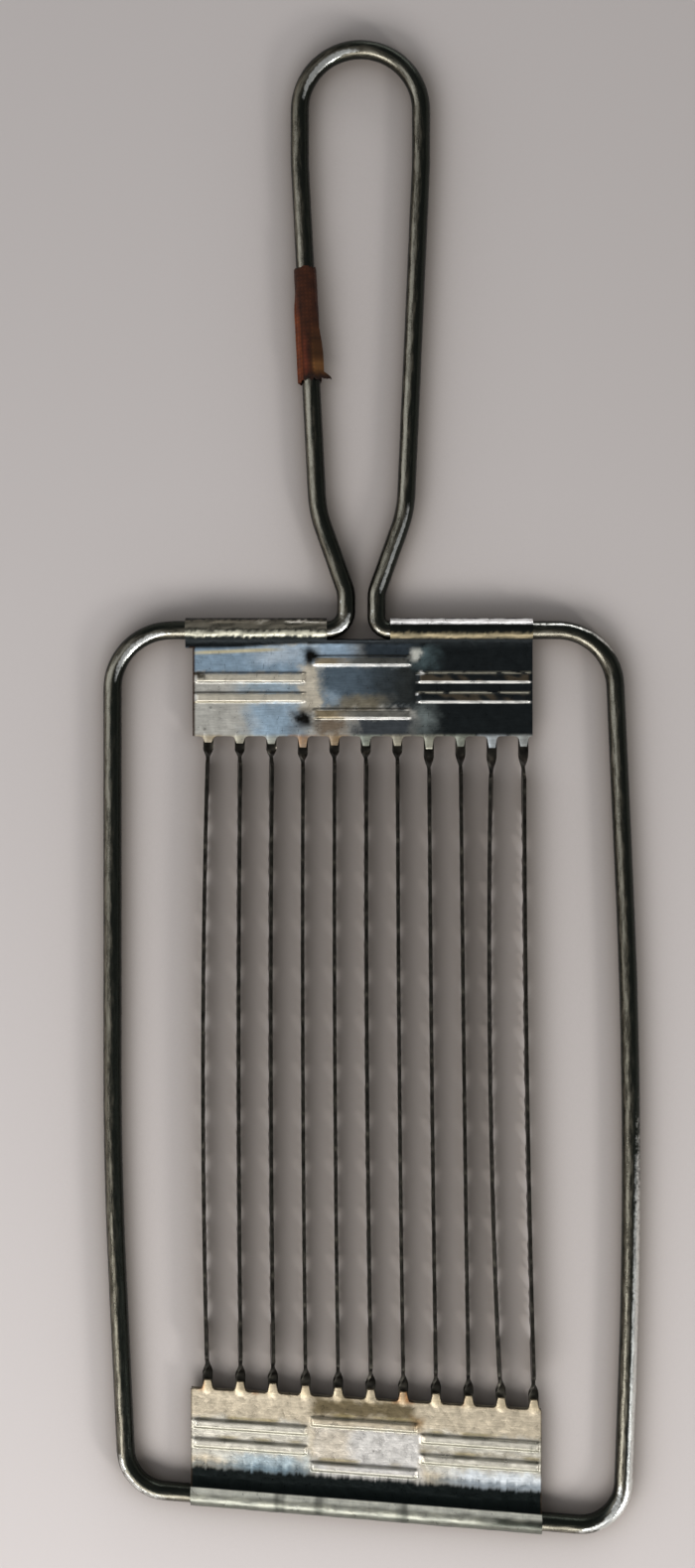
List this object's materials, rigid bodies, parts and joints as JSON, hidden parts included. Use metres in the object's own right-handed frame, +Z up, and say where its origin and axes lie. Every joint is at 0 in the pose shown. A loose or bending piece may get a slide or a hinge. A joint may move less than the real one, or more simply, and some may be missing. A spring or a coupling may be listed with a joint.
{
  "type": "hand vegetable slicer",
  "caption": "Hand slicer with a bent wire handle and frame, folded sheet headers and parallel serrated blades for tomatoes and boiled vegetables.",
  "frame": {"origin": "centre of the underside of the bounding box, on the surface that the slicer lies on", "axes": "+Y along the handle, away from the blades; +Z up, out of the face with the raised ribs; +X to the right seen from above"},
  "size_m": [0.1084, 0.3016, 0.0049],
  "materials": {
    "wire_plating": "old dulled plating over steel wire",
    "sheet_plating": "scratched, spotted plating on sheet steel",
    "blade_steel": "dark, stained thin steel strip",
    "cloth_tape": "brown cloth tape, worn"
  },
  "bodies": {
    "root": {"frame_wire": "wire_plating", "upper_header": "sheet_plating", "lower_header": "sheet_plating", "handle_tape": "cloth_tape", "blade_01": "blade_steel", "blade_02": "blade_steel", "blade_03": "blade_steel", "blade_04": "blade_steel", "blade_05": "blade_steel", "blade_06": "blade_steel", "blade_07": "blade_steel", "blade_08": "blade_steel", "blade_09": "blade_steel", "blade_10": "blade_steel", "blade_11": "blade_steel"}
  },
  "joints": []
}
